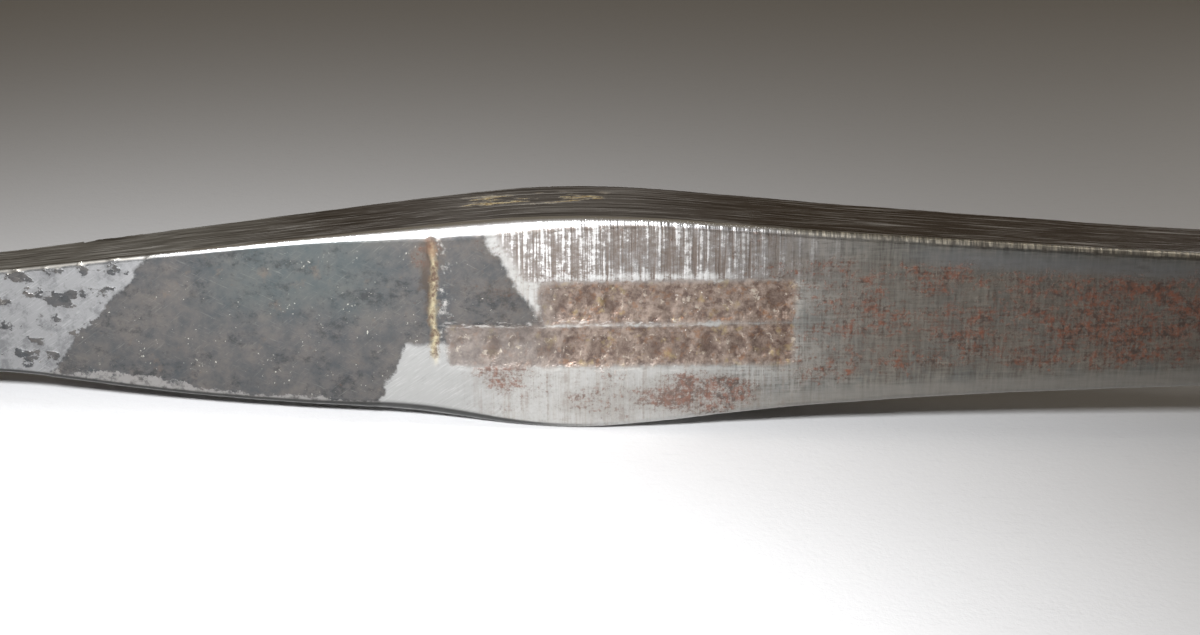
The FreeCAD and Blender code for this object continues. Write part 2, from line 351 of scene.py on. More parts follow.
def lay_filed_steel(steel, s, above_bottom, below_top):
    """Bare steel, brightest round the belly, duller and browner up the shank."""
    weave = woven(s)
    steel.lay(1.0, BARE_STEEL)
    steel.lay(s.noise(0.9, 4.0, 0.6, seed=9.0).rise(-0.6, 0.6) * 0.3, (0.44, 0.425, 0.395))
    steel.lay(s.along.rise(-15.0, -18.0) * 0.9, (0.265, 0.267, 0.272))
    mottle = s.noise(0.7, 5.0, 0.75, seed=9.2)
    steel.lay(s.along.rise(-15.0, -18.0) * mottle.rise(-0.1, 0.3) * 0.75, (0.155, 0.157, 0.162))
    steel.lay(s.along.rise(-2.0, -5.0) * s.along.rise(-12.0, -9.0), (0.415, 0.415, 0.405))
    scuffs = s.noise((0.9, 1.0, 0.05), 3.0, 0.7, seed=9.8, lean=34.0)
    scuffed = s.along.rise(-1.0, -4.0) * (1.0 - s.along.rise(-13.0, -16.0) * 0.6)
    steel.lay(scuffed * scuffs.rise(0.05, 0.4) * 0.5, (0.6, 0.6, 0.59))
    steel.lay(scuffed * scuffs.rise(-0.1, -0.45) * 0.4, (0.27, 0.265, 0.26))
    browned = s.noise((0.12, 3.0, 2.6), 3.0, 0.6, seed=9.5).rise(0.0, 0.5)
    steel.lay(s.along.band(-4.0, 9.0, 2.0) * browned * 0.5, (0.34, 0.285, 0.24))
    steel.lay(s.along.rise(5.0, 13.0) * 0.93, BROWNED_STEEL, roughness=0.36)
    blued = s.noise(1.2, 4.0, 0.7, seed=9.6).rise(-0.2, 0.3)
    steel.lay(blued * s.along.rise(4.0, 9.0) * 0.6, (0.15, 0.165, 0.165))
    steel.lay(weave.rise(-0.1, 0.35) * s.along.rise(3.0, 9.0) * 0.75, (0.085, 0.08, 0.07))
    steel.lay(weave.rise(0.0, -0.4) * s.along.rise(5.0, 10.0) * 0.45, (0.4, 0.375, 0.32))
    steel.lay(below_top.band(0.45, 1.2, 0.3) * s.along.rise(12.0, 16.0) * 0.75, BRIGHT_GREY)
    steel.lay(above_bottom.rise(1.1, 0.5) * s.along.rise(5.0, 9.0) * 0.7, (0.3, 0.285, 0.26))


def woven(s):
    """Fine crossed scratches."""
    upright = s.noise((0.13, 1.0, 1.3), 3.0, 0.65, seed=7.0)
    level = s.noise((1.5, 1.0, 0.12), 3.0, 0.65, seed=7.7)
    return upright * 0.6 + level * 0.5


def lay_file_marks(steel, s, to_front):
    """White cut metal between strokes that have kept their rust."""
    strokes, above, below = file_marks(s)
    broken = strokes + s.noise((0.35, 2.0, 0.2), 4.0, 0.78, seed=40.0) * 0.85
    dulled = (s.along.rise(2.6, 8.0) * 0.6 + patch(s, 2.4, 2.7, 1.8, 0.75) * 0.45).least(0.8)
    worn = above * (broken - dulled * 0.25).rise(-0.45, 0.25) * to_front
    steel.lay(above * to_front * 0.92, (0.175, 0.14, 0.12), roughness=0.36)
    steel.lay(worn * 0.8, (0.4, 0.385, 0.375), roughness=0.32)
    steel.lay(worn * dulled * 0.75, BRIGHT_GREY)
    cut = above * (broken - dulled * 0.4).rise(0.02, 0.22) * to_front
    steel.lay(cut * (1.0 - dulled * 0.6), CUT_METAL, roughness=0.33)
    foot = s.z.band(1.85, 2.15, 0.12) * s.along.band(-1.0, 6.0, 0.8)
    steel.lay(foot * broken.rise(-0.5, 0.1) * to_front * 0.8, (0.74, 0.74, 0.73), roughness=0.33)
    steel.lay(below * broken.rise(0.1, 0.5) * to_front * 0.5, (0.29, 0.24, 0.21), roughness=0.38)
    steel.raise_by(strokes * above.most(below * 0.6) * 0.009)


def lay_heat_scale(steel, s, to_top, above_bottom):
    """Grey oxide, blue-green towards the belly, scratched and pricked with bright points."""
    scale = heat_scale(s).most(scale_islands(s))
    tone = s.noise(1.1, 5.0, 0.7, seed=11.0)
    colour = steel.mixed(tone.rise(-0.5, 0.5), (0.078, 0.084, 0.09), (0.15, 0.138, 0.129))
    teal = s.along.band(-15.0, -8.0, 2.0) * (s.z + s.noise(1.6, 3.0, 0.6, seed=11.5)).rise(-0.8, 1.5)
    warm = s.noise(0.9, 4.0, 0.7, seed=12.4).rise(0.18, 0.5)
    scratches = s.noise((1.0, 1.0, 0.06), 3.0, 0.7, seed=12.0, lean=38.0)
    cross = s.noise((0.8, 1.0, 0.06), 3.0, 0.7, seed=12.7, lean=-24.0)
    grime = s.noise(0.3, 5.0, 0.78, seed=13.0) * 0.6 + s.noise((2.2, 1.0, 1.3), 5.0, 0.75, seed=13.2)
    sparks = s.noise(0.12, 2.0, 0.7, seed=13.6) + s.noise(0.8, 2.0, seed=13.9) * 0.45
    colour = steel.tinted(colour, (teal * 0.45, (0.086, 0.112, 0.114)), (warm * 0.5, (0.185, 0.142, 0.115)),
                          (scratches.most(cross).rise(0.16, 0.6) * 0.5, (0.27, 0.262, 0.245)),
                          (grime.rise(0.0, 0.42) * 0.72, BLACK_GRIME),
                          (sparks.rise(0.44, 0.58) * 0.85, (0.62, 0.6, 0.53)))
    steel.lay(scale * (1.0 - to_top * 0.75), colour, roughness=0.36)
    steel.raise_by(scale * (grime * 0.005 + scratches * 0.004 + 0.004))
    reach = s.along.band(-20.5, -16.2, 0.5) * 0.3 + 0.36 + s.noise(0.45, 5.0, 0.75, seed=13.3) * 0.5
    strip = (reach - above_bottom).rise(-0.03, 0.05) * s.along.band(-22.5, -8.2, 1.0)
    steel.lay(strip * s.noise(0.3, 3.0, 0.7, seed=13.4).rise(-0.4, 0.15) * 0.9, (0.3, 0.29, 0.28))


def lay_rust(steel, s, above_bottom, below_top, to_top):
    """Red-brown rust in woven specks, patches low on the belly, and a brown film up the shank."""
    weave = woven(s)
    fine = s.noise(0.15, 4.0, 0.7, seed=2.0)
    density = rust_density(s, above_bottom, below_top)
    blotch = s.noise((1.7, 1.0, 0.8), 5.0, 0.74, seed=14.0) * 0.85 + weave * 0.38 + fine * 0.75
    film = (density * 1.5 + blotch * 0.55 - 0.25).rise(-0.2, 0.5) * (1.0 - to_top)
    steel.lay(film * 0.5, BROWN_FILM, metal=0.8, roughness=0.4)
    rust = (blotch + density * 1.35 - 0.6).rise(-0.22, 0.26) * (1.0 - to_top)
    colour = steel.mixed(s.noise(0.3, 5.0, 0.78, seed=15.0).rise(-0.14, 0.16), RUST_BLACK,
                         RUST_RED)
    fresh = s.noise(0.17, 3.0, 0.7, seed=16.0).rise(0.2, 0.5)
    colour = steel.mixed(fresh * 0.5, colour, (0.25, 0.135, 0.065))
    colour = steel.mixed(s.along.rise(7.0, 3.0) * 0.5, colour, (0.105, 0.05, 0.033))
    steel.lay(rust * 0.86, colour, metal=0.35, roughness=0.72)
    steel.raise_by(rust * fine * 0.007 + rust * 0.004)


def lay_bands(steel, s, to_front):
    """Rust, old oil and worn points in the two sunk bands and their punch marks, with painted highlights on
    the marks' rims and along the bands' ledges.
    """
    sunk, marks = punch_rows(s)
    lumps = s.noise(0.33, 3.0, 0.7, seed=17.0)
    veil = s.noise(0.8, 4.0, 0.65, seed=17.5)
    near = s.along.band(-1.9, PANEL_RIGHT, 0.3) * s.z.band(-0.1, 1.85, 0.25)
    near = near.most(s.along.band(-5.6, PANEL_RIGHT, 0.3) * s.z.band(-1.9, 0.0, 0.25))
    stain = (sunk * 0.45 + near * 0.55 + veil * 0.75 + lumps * 0.45 - 0.22).rise(-0.12, 0.34)
    stain = stain * near * to_front
    colour = steel.mixed(lumps.rise(-0.4, 0.4), (0.075, 0.04, 0.028), (0.27, 0.205, 0.165))
    orange = s.noise(0.33, 4.0, 0.65, seed=18.0).rise(0.05, 0.35) * 0.65
    gold = s.noise(0.5, 3.0, 0.65, seed=18.6).rise(0.12, 0.4) * 0.55
    points = s.noise(0.12, 2.0, 0.7, seed=18.9).rise(0.38, 0.56) * 0.9
    colour = steel.tinted(colour, (orange, (0.215, 0.098, 0.042)), (gold, (0.3, 0.225, 0.1)),
                          (points, (0.8, 0.78, 0.74)))
    left = s.along.rise(0.0, -2.6)
    colour = steel.mixed(left * 0.55, colour, (0.19, 0.18, 0.172))
    steel.lay(stain * 0.92, colour, metal=0.65, roughness=0.38)
    steel.lay(sunk * to_front * marks * (veil.rise(0.35, -0.2) * 0.5 + 0.18), (0.05, 0.028, 0.02),
              metal=0.4, roughness=0.45)
    # Painted highlight: pale broken crescents on the sloping walls of the punch marks.
    rim_highlight = marks.band(0.12, 0.5, 0.1) * s.noise(0.32, 3.0, 0.7, seed=19.3).rise(0.05, 0.3)
    steel.lay(rim_highlight * to_front * 0.5, (0.56, 0.5, 0.42), roughness=0.33)
    # Painted highlight: pale flecks along the ridge between the bands and under the lower band.
    ledges = s.z.band(-0.13, 0.13, 0.08) * s.along.band(-5.6, 5.0, 0.8)
    ledges = ledges + s.z.band(-2.15, -1.88, 0.08) * s.along.band(-1.0, 4.5, 0.8) * 0.8
    ledge_glints = s.noise((0.5, 1.0, 0.13), 3.0, 0.7, seed=19.8).rise(0.0, 0.3)
    steel.lay(ledges * ledge_glints * to_front * 0.55, (0.7, 0.68, 0.65), roughness=0.33)
    steel.raise_by(stain * lumps * 0.02)


def lay_score(steel, s, to_front):
    """Yellow deposit and rust in the scribed line, with a painted highlight on one side and a painted shadow
    on the other.
    """
    away, lengthwise = scored_line(s)
    lumps = s.noise(0.32, 4.0, 0.7, seed=19.0)
    colour = steel.mixed(lumps.rise(-0.25, 0.3), (0.085, 0.05, 0.032), (0.36, 0.315, 0.2))
    colour = steel.mixed(s.z.rise(2.4, 3.2) * 0.6, colour, (0.17, 0.085, 0.05))
    # Painted shadow: a dark stripe just left of the scribed line, over its upper part.
    score_shadow = (s.along - SCORE_AT + 0.28 + s.noise(0.6, 5.0, 0.7, seed=19.6) * 0.6).size().rise(0.3, 0.02)
    steel.lay(score_shadow * lengthwise * to_front * s.z.rise(-0.2, 1.4) * 0.75, (0.085, 0.065, 0.052),
              roughness=0.5)
    steel.lay((away + lumps * 0.3).rise(0.26, 0.06) * lengthwise * to_front * 0.95, colour,
              metal=0.3, roughness=0.5)
    # Painted highlight: a pale broken stripe just right of the scribed line.
    score_highlight = (s.along - SCORE_AT - 0.42 + s.noise(0.9, 5.0, 0.78, seed=20.0) * 0.7).size().rise(0.3, 0.02)
    steel.lay(score_highlight * lengthwise * to_front * s.noise(0.4, 5.0, 0.78, seed=21.0).rise(0.0, 0.3) * 0.75,
              (0.56, 0.545, 0.515))


def lay_back_and_arrises(steel, s, to_top, arris, bevel):
    """The drawn top edge with painted glints and a painted paler head end, the polished front arris with a
    painted highlight, and painted shade on the bevel under the face.
    """
    drawn_lines_and_glints = s.noise((7.0, 0.1, 0.3), 4.0, 0.65, seed=22.0)
    steel.lay(to_top, (0.52, 0.52, 0.54), metal=1.0, roughness=0.26)
    # Painted highlight: the top face made paler towards the head end.
    steel.lay(to_top * s.along.rise(-6.0, -16.0) * 0.7, (0.8, 0.82, 0.78), roughness=0.44)
    steel.lay(to_top * s.along.band(-8.0, 5.0, 3.5) * 0.6, (0.66, 0.65, 0.64), roughness=0.48)
    # Painted glints: the brightest of the drawn lines on the top face are near white; the dark ones are the
    # drawn texture.
    steel.lay(to_top * drawn_lines_and_glints.rise(0.02, 0.35) * 0.8, (0.95, 0.94, 0.92), roughness=0.55)
    steel.lay(to_top * drawn_lines_and_glints.rise(0.0, -0.35) * 0.85, (0.13, 0.115, 0.105))
    fleck = s.noise((1.5, 0.42, 1.0), 5.0, 0.66, seed=23.0).rise(0.02, 0.2)
    fleck = fleck * s.along.band(-5.0, 1.2, 0.5) * s.y.band(-0.3, 1.4, 0.3)
    gold = steel.mixed(s.noise(0.2, 3.0, 0.7, seed=23.5).rise(-0.3, 0.4), (0.3, 0.2, 0.08),
                       (0.8, 0.7, 0.45))
    steel.lay(to_top * fleck, gold, metal=0.3, roughness=0.4)
    fine = s.noise((0.12, 1.0, 1.0), 3.0, 0.7, seed=24.5)
    # Polished steel with a painted highlight: the arris is near white over this stretch and dull grey beyond
    # it.
    polished = s.along.band(-17.0, 8.0, 1.6)
    steel.lay(arris * polished, POLISHED_ARRIS_HIGHLIGHT, metal=1.0, roughness=0.22)
    steel.lay(arris * (1.0 - polished) * 0.8, (0.25, 0.235, 0.21), metal=1.0, roughness=0.34)
    flecked = s.along.rise(6.0, 10.0) * fine.rise(-0.2, 0.3)
    steel.lay(arris * flecked * 0.7, (0.72, 0.66, 0.54), metal=0.9, roughness=0.4)
    # Painted shade: the bevel under the front face darkened to near black towards the head end.
    steel.lay(bevel * s.along.rise(2.0, -3.0) * 0.92, (0.05, 0.05, 0.048), roughness=0.4)
    steel.raise_by(to_top * drawn_lines_and_glints * 0.0025)


def blade_steel():
    """Filed steel with scale, rust, file strokes, a deposit in the scored line and a polished arris, with
    painted highlights on the arris, the top face, the bands and the scored line, and painted shade on the
    lower bevel and beside the scored line.
    """
    steel = Finish("blade_steel", 1.0, 0.3)
    s = steel.surface
    front, top = -steel.facing[1], steel.facing[2]
    above_bottom = steel.read("above_bottom")
    below_top = steel.read("below_top")
    to_front = front.rise(0.9, 0.965)
    to_top = top.rise(0.86, 0.95)
    # The arris carries polished steel and a painted highlight.
    arris = front.band(0.25, 0.962, 0.02) * top.band(0.22, 0.93, 0.03) * below_top.rise(0.85, 0.7)
    # The lower bevel, which carries painted shade.
    bevel = front.band(0.3, 0.92, 0.05) * (-top).band(0.3, 0.9, 0.05) * above_bottom.rise(0.75, 0.6)
    lay_filed_steel(steel, s, above_bottom, below_top)
    lay_file_marks(steel, s, to_front)
    lay_heat_scale(steel, s, to_top, above_bottom)
    lay_rust(steel, s, above_bottom, below_top, to_top)
    lay_bands(steel, s, to_front)
    lay_score(steel, s, to_front)
    lay_back_and_arrises(steel, s, to_top, arris, bevel)
    return steel.done()


def washer_steel():
    """Dull steel with rust in its freckles and turned rings on its face."""
    steel = Finish("washer_steel", 1.0, 0.45)
    s = steel.surface
    radius = (s.y * s.y + s.z * s.z).root()
    steel.lay(1.0, (0.34, 0.32, 0.3))
    steel.lay(s.noise(1.2, 4.0, 0.65, seed=1.0).rise(-0.1, 0.35), (0.13, 0.065, 0.04),
              metal=0.1, roughness=0.7)
    steel.raise_by((radius * 24.0).sine() * 0.002 + s.noise(0.2, 3.0, 0.6, seed=2.0) * 0.006)
    return steel.done()


def brass(name, polish):
    """Drawn brass, bright where it is handled and brown in the corners. Polish is from 0 to 1."""
    metal = Finish(name, 1.0, 0.34 - 0.12 * polish)
    s = metal.surface
    metal.lay(1.0, BRIGHT_BRASS)
    cloud = s.noise(3.2, 4.0, 0.6, seed=3.0)
    metal.lay(cloud.rise(-0.2, 0.5) * (0.75 - 0.35 * polish), (0.42, 0.27, 0.11), roughness=0.42)
    metal.lay(s.noise(0.8, 4.0, 0.7, seed=4.0).rise(0.25, 0.6) * 0.8, (0.16, 0.1, 0.055), roughness=0.55)
    spots = s.noise(0.35, 3.0, 0.6, seed=5.0).rise(0.45, 0.6)
    metal.lay(spots * 0.7, (0.09, 0.06, 0.04), metal=0.6, roughness=0.6)
    rings = s.noise((0.05, 6.0, 6.0), 2.0, 0.6, seed=6.0)
    scratches = s.noise((2.6, 0.14, 0.14), 2.0, 0.7, seed=7.0).rise(0.42, 0.5)
    metal.raise_by(rings * 0.0016 - scratches * 0.004 - spots * 0.004)
    return metal.done()


def handle_wood():
    """Close-grained reddish hardwood under old oil, darker in its grooves, rubbed pale on the swell."""
    wood = Finish("handle_wood", 0.0, 0.34)
    s = wood.surface
    y = s.y + 14.0 + s.noise((40.0, 9.0, 9.0), 2.0, seed=1.0) * 1.6
    z = s.z - 5.0 + s.noise((46.0, 9.0, 9.0), 2.0, seed=2.0) * 1.6
    ring = (y * y + z * z).root() * 3.6 + s.noise((26.0, 1.6, 1.6), 3.0, 0.6, seed=3.0) * 1.1
    late = ring.sine() * 0.5 + 0.5
    wood.lay(1.0, EARLY_WOOD)
    wood.lay(late.power(2.2) * 0.85, LATE_WOOD)
    wood.lay(s.noise((18.0, 1.1, 1.1), 4.0, 0.65, seed=4.0).rise(0.0, 0.7) * 0.6, (0.33, 0.135, 0.05))
    pores = s.noise((3.2, 0.16, 0.16), 2.0, 0.6, seed=5.0).rise(0.3, 0.5)
    wood.lay(pores * 0.75, (0.03, 0.011, 0.007), roughness=0.55)
    worn = s.noise(7.0, 4.0, 0.6, seed=6.0)
    wood.lay(worn.rise(0.05, 0.6) * 0.35, (0.36, 0.18, 0.085), roughness=0.42)
    grime = s.x.rise(24.0, 13.0).most(wood.read("hollow"))
    wood.lay(grime * 0.75, (0.02, 0.009, 0.006), roughness=0.5)
    wood.raise_by(s.noise((9.0, 0.5, 0.5), 3.0, 0.6, seed=7.0) * 0.01 - pores * 0.02)
    wood.raise_by(s.noise(1.1, 3.0, 0.6, seed=8.0) * 0.006)
    wood.shader.inputs["Coat Weight"].default_value = 0.35
    wood.shader.inputs["Coat Roughness"].default_value = 0.22
    return wood.done()


def pale_sheet():
    """Matt pale paper with a faint tooth."""
    paper = Finish("pale_sheet", 0.0, 0.85)
    s = paper.surface
    paper.lay(1.0, (0.64, 0.64, 0.65))
    paper.lay(s.noise((0.9, 0.25, 0.5), 5.0, 0.75, seed=1.0).rise(0.0, 0.6) * 0.45, (0.54, 0.54, 0.55))
    paper.raise_by(s.noise(0.22, 4.0, 0.65, seed=2.0) * 0.006)
    return paper.done()


# --- Making meshes ---

def linked(name, mesh):
    piece = bpy.data.objects.new(name, mesh)
    bpy.context.scene.collection.objects.link(piece)
    return piece


def mesh_of(name, points, faces=(), edges=()):
    mesh = bpy.data.meshes.new(name)
    mesh.from_pydata([tuple(p) for p in points], edges, faces)
    mesh.validate()
    return mesh


def cad_surface(*nodes):
    """The CAD nodes' surfaces as one thing that rays can meet."""
    points, faces = [], []
    for node in nodes:
        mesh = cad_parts[node].data
        start = len(points)
        points += [v.co.copy() for v in mesh.vertices]
        faces += [[start + i for i in polygon.vertices] for polygon in mesh.polygons]
    return BVHTree.FromPolygons(points, faces)


def store(mesh, label, values):
    """Keeps a number for each vertex on the mesh, for its finish to read."""
    mesh.attributes.new(label, "FLOAT", "POINT").data.foreach_set("value", values)


def as_shown(piece):
    """A new plain mesh of the piece with its modifiers carried out."""
    graph = bpy.context.evaluated_depsgraph_get()
    return bpy.data.meshes.new_from_object(piece.evaluated_get(graph))


def met(surface, x, y, start_z):
    """Height at which a ray down (or up) from start_z meets the surface."""
    return surface.ray_cast(Vector((x, y, start_z)), Vector((0, 0, -start_z)))[0].z


def from_nose(length, first, count):
    """Distances back from a rounded end, closest together at the end itself."""
    return length * (1 - np.cos(np.linspace(first, 0.5, count) * math.pi))


def plain_mesh(base, name, tree, inputs):
    """Runs a geometry tree on the base object and keeps the result as a piece with no modifiers."""
    modifier = base.modifiers.new("shape", "NODES")
    modifier.node_group = tree
    for item in tree.interface.items_tree:
        if item.item_type == "SOCKET" and item.in_out == "INPUT" and item.name in inputs:
            modifier[item.identifier] = inputs[item.name]
    mesh = as_shown(base)
    bpy.data.objects.remove(base)
    mesh.name = name
    return linked(name, mesh)


def cut_away(piece, cutter):
    """Takes the cutter's solid out of the piece."""
    modifier = piece.modifiers.new("cut", "BOOLEAN")
    modifier.operation = "DIFFERENCE"
    modifier.solver = "EXACT"
    modifier.object = cutter
    mesh = as_shown(piece)
    piece.modifiers.remove(modifier)
    old = piece.data
    piece.data = mesh
    bpy.data.meshes.remove(old)
    bpy.data.objects.remove(cutter)


class Tree:
    """A geometry tree in the making: named inputs, one mesh passing through it, and fields on that mesh."""

    def __init__(self, name, inputs):
        self.group = bpy.data.node_groups.new(name, "GeometryNodeTree")
        self.group.interface.new_socket("Geometry", in_out="INPUT", socket_type="NodeSocketGeometry")
        for label, kind, value in inputs:
            socket = self.group.interface.new_socket(label, in_out="INPUT", socket_type=kind)
            if value is not None:
                socket.default_value = value
        self.group.interface.new_socket("Geometry", in_out="OUTPUT", socket_type="NodeSocketGeometry")
        self.source = self.group.nodes.new("NodeGroupInput")
        self.geometry = self.source.outputs["Geometry"]

    def given(self, label):
        return Field(self.group, self.source.outputs[label])

    def add(self, kind, feeds=(), **settings):
        return add_node(self.group, kind, feeds, **settings)

    def through(self, kind, feeds=(), **settings):
        """Passes the mesh through a node."""
        node = self.add(kind, feeds, **settings)
        self.group.links.new(self.geometry, node.inputs[0])
        self.geometry = node.outputs[0]
        return node

    def surface(self):
        return Surface(self.group, self.add("GeometryNodeInputPosition").outputs[0])

    def normals(self):
        return apart(self.group, self.add("GeometryNodeInputNormal").outputs[0])

    def push_out(self, height):
        """Moves the surface along its normals by a height in millimetres."""
        normal = self.add("GeometryNodeInputNormal").outputs[0]
        offset = self.add("ShaderNodeVectorMath", {0: normal, "Scale": height * MM}, operation="SCALE")
        self.through("GeometryNodeSetPosition", {"Offset": offset.outputs[0]})

    def finished(self):
        self.through("GeometryNodeSetShadeSmooth", {"Shade Smooth": True})
        self.through("GeometryNodeRealizeInstances")
        self.through("GeometryNodeSetMaterial", {"Material": self.source.outputs["Material"]})
        sink = self.group.nodes.new("NodeGroupOutput")
        self.group.links.new(self.geometry, sink.inputs["Geometry"])
        return self.group


# --- The blade ---

SAMPLE_STEP = 0.1 * MM
SMOOTHING = 6  # samples
VIEWED = (TIP_X + 12.6 * MM, BELLY_X + 26.8 * MM)  # the stretch that gets the finest mesh
ROLLED = 0.25  # how far a corner chamfer bulges towards the sharp corner
PROBE_Y = 0.95 * MM  # over the guide, clear of the slot and of the chamfers


def smoothed(values):
    """Values with the CAD mesh's flat facets averaged out."""
    reach = 3 * SMOOTHING
    kernel = np.exp(-0.5 * (np.arange(-reach, reach + 1) / SMOOTHING) ** 2)
    padded = np.pad(values, reach, mode="reflect", reflect_type="odd")
    return np.convolve(padded, kernel / kernel.sum(), mode="valid")


def blade_outlines():
    """Stations along the blade, the heights of its top and lower edges there, and half its thickness."""
    steel = cad_surface("blade", "guide_prong")
    xs = np.arange(TIP_X + 0.01 * MM, SHOULDER_X - 0.01 * MM, SAMPLE_STEP)
    top, bottom, half = [], [], []
    for x in xs:
        top.append(met(steel, x, PROBE_Y, FAR))
        bottom.append(met(steel, x, PROBE_Y, -FAR))
        middle = (top[-1] + bottom[-1]) / 2
        half.append(steel.ray_cast(Vector((x, FAR, middle)), Vector((0, -1, 0)))[0].y)
    top, bottom, half = np.array(top), np.array(bottom), np.array(half)
    past_nose = np.clip((xs - TIP_X - 2.4 * MM) / (2 * MM), 0, 1)
    top = top + past_nose * (smoothed(top) - top)
    bottom = bottom + past_nose * (smoothed(bottom) - bottom)
    return xs, top, bottom, smoothed(half)


def stations():
    """Places along X where the blade's skin has a ring, closest where the file and the punch have worked."""
    nose = TIP_X + from_nose(2.2 * MM, 0.02, 14)
    coarse = 0.3 * MM
    head = np.arange(nose[-1] + coarse, VIEWED[0], coarse)
    fine = np.arange(VIEWED[0], VIEWED[1], 0.103 * MM)
    shank = np.linspace(VIEWED[1], SHOULDER_X, 50)
    return np.concatenate([nose, head, fine, shank])


def spread(count):
    """Shares along one side of a section, with a close line at both ends that keeps the corner tight."""
    edge = 0.35 / count
    return np.concatenate([[0.0, edge], np.linspace(edge, 1 - edge, count - 2)[1:]])


SIDES = (70, 5, 14, 5, 32, 5, 12, 5)  # front, arris, back edge, arris, far side, arris, lower edge, bevel


def section(top, bottom, half, cuts):
    """One ring round the blade as rows of y, z. Each cut is how far a chamfer runs along Y and along Z."""
    front_top, far_top, far_low, front_low = cuts
    turns = [(-half, bottom + front_low[1]), (-half, top - front_top[1]), (-half + front_top[0], top),
             (half - far_top[0], top), (half, top - far_top[1]), (half, bottom + far_low[1]),
             (half - far_low[0], bottom), (-half + front_low[0], bottom)]
    ring = []
    for count, start, end in zip(SIDES, turns, turns[1:] + turns[:1]):
        shares = spread(count)[:, None] if count > 5 else np.linspace(0, 1, count, endpoint=False)[:, None]
        run = np.array(start) + shares * (np.array(end) - np.array(start))
        if count <= 5:
            corner_z = top if start[1] + end[1] > 0 else bottom
            corner = np.array([math.copysign(half, start[0] + end[0]), corner_z])
            run += (corner - run) * shares * (1 - shares) * 4 * ROLLED
        ring.append(run)
    return np.concatenate(ring)


def chamfers(x, top, bottom):
    """The four chamfers at a station. The front arris is filed steep, and widest just before the belly."""
    along = (x - BELLY_X) / MM
    room = (top - bottom) * 0.2
    upper = 0.22 + 0.44 * math.exp(-((along + 4.0) / 5.0) ** 2) + 0.08 / (1 + math.exp(-along))
    lower = 0.28 + 0.3 * math.exp(-((along + 6.5) / 3.2) ** 2)
    sizes = [(upper * 0.5, upper), (0.3, 0.3), (0.3, 0.3), (lower, lower)]
    return [(min(deep * MM, room), min(tall * MM, room)) for deep, tall in sizes]


def blade_skin():
    """A closed tube of rings from the guide's tip over the shoulder to the tang's point."""
    xs, tops, bottoms, halves = blade_outlines()
    rings = []
    for x in stations():
        top, bottom, half = (float(np.interp(x, xs, values)) for values in (tops, bottoms, halves))
        ring = section(top, bottom, half, chamfers(x, top, bottom))
        rings.append(np.column_stack([np.full(len(ring), x), ring]))
    tang = blade_corners[blade_corners[:, 0] > SHOULDER_X + 0.5 * MM]
    tang_start = tang[tang[:, 0] < tang[:, 0].max() - 1 * MM]
    tang_end = tang[tang[:, 0] > tang[:, 0].max() - 0.01 * MM]
    for x, source in ((SHOULDER_X, tang_start), (float(tang_start[:, 0].max()), tang_start),
                      (float(tang_end[:, 0].max()), tang_end)):
        high = source[:, 2].max()
        thick = source[:, 1].max()
        ring = section(high, -high, thick, [(0.05 * MM, 0.05 * MM)] * 4)
        rings.append(np.column_stack([np.full(len(ring), x), ring]))
    around = len(rings[0])
    count = len(rings)
    first = np.arange(count - 1)[:, None] * around
    here = np.arange(around)[None, :]
    beside = (here + 1) % around
    after = first + around
    quads = np.stack([first + here, after + here, after + beside, first + beside], axis=-1)
    faces = quads.reshape(-1, 4).tolist()
    faces.append(list(range(around)))
    faces.append(list(range((count - 1) * around, count * around))[::-1])
    mesh = mesh_of("blade_skin", np.concatenate(rings), faces)
    return linked("blade_skin", mesh), (xs, tops, bottoms, halves)


def relief_tree():
    """Hammer waves, file strokes, sunk bands with punch marks, a scored line, pits and a film of scale."""
    tree = Tree("worked_steel", [("Material", "NodeSocketMaterial", None),
                                 ("Wave Height", "NodeSocketFloat", 0.035),
                                 ("Stroke Depth", "NodeSocketFloat", 0.016),
                                 ("Band Depth", "NodeSocketFloat", 0.065),
                                 ("Punch Depth", "NodeSocketFloat", 0.06),
                                 ("Score Depth", "NodeSocketFloat", 0.05),
                                 ("Scale Height", "NodeSocketFloat", 0.014)])
    s = tree.surface()
    normal = tree.normals()
    to_front = (-normal[1]).rise(0.85, 0.97)
    clear_of_shoulder = s.x.rise(SHOULDER_X / MM - 0.2, SHOULDER_X / MM - 1.2)
    on_blade = clear_of_shoulder * s.x.rise(TIP_X / MM + 0.5, TIP_X / MM + 3)
    waves = s.noise(4.2, 1.0, seed=31.0) * 0.8 + s.noise(1.5, 2.0, seed=32.0) * 0.35
    strokes, above, below = file_marks(s)
    sunk, marks = punch_rows(s)
    away, lengthwise = scored_line(s)
    pits = s.noise(0.32, 2.0, 0.6, seed=33.0).rise(0.15, 0.6) * s.along.rise(-3.0, 10.0)
    lumps = s.noise(0.34, 4.0, 0.7, seed=34.0)
    groove = away.rise(0.17, 0.05) - away.band(0.2, 0.3, 0.05) * 0.35
    height = waves * tree.given("Wave Height")
    height = height + strokes * above.most(below * 0.7) * tree.given("Stroke Depth")
    height = height - to_front * sunk * tree.given("Band Depth") * (lumps * 0.8 + 1.0)
    height = height - to_front * marks * tree.given("Punch Depth")
    height = height - to_front * groove * lengthwise * tree.given("Score Depth")
    height = height + heat_scale(s).most(scale_islands(s)) * tree.given("Scale Height")
    tree.push_out((height - pits * 0.02) * on_blade)
    return tree.finished()


def prism(name, outline, y_start, y_end, upright=False):
    """A closed solid from (x, z) points between two places along Y, or turned about X to run along Z."""
    count = len(outline)
    points = [(x, y, z) for y in (y_start, y_end) for x, z in outline]
    sides = [(i, (i + 1) % count, count + (i + 1) % count, count + i) for i in range(count)]
    mesh = mesh_of(name, points, [list(range(count))[::-1], list(range(count, 2 * count)), *sides])
    solid = linked(name, mesh)
    if upright:
        mesh.transform(Matrix.Rotation(math.pi / 2, 4, "X"))
    return outward(solid)


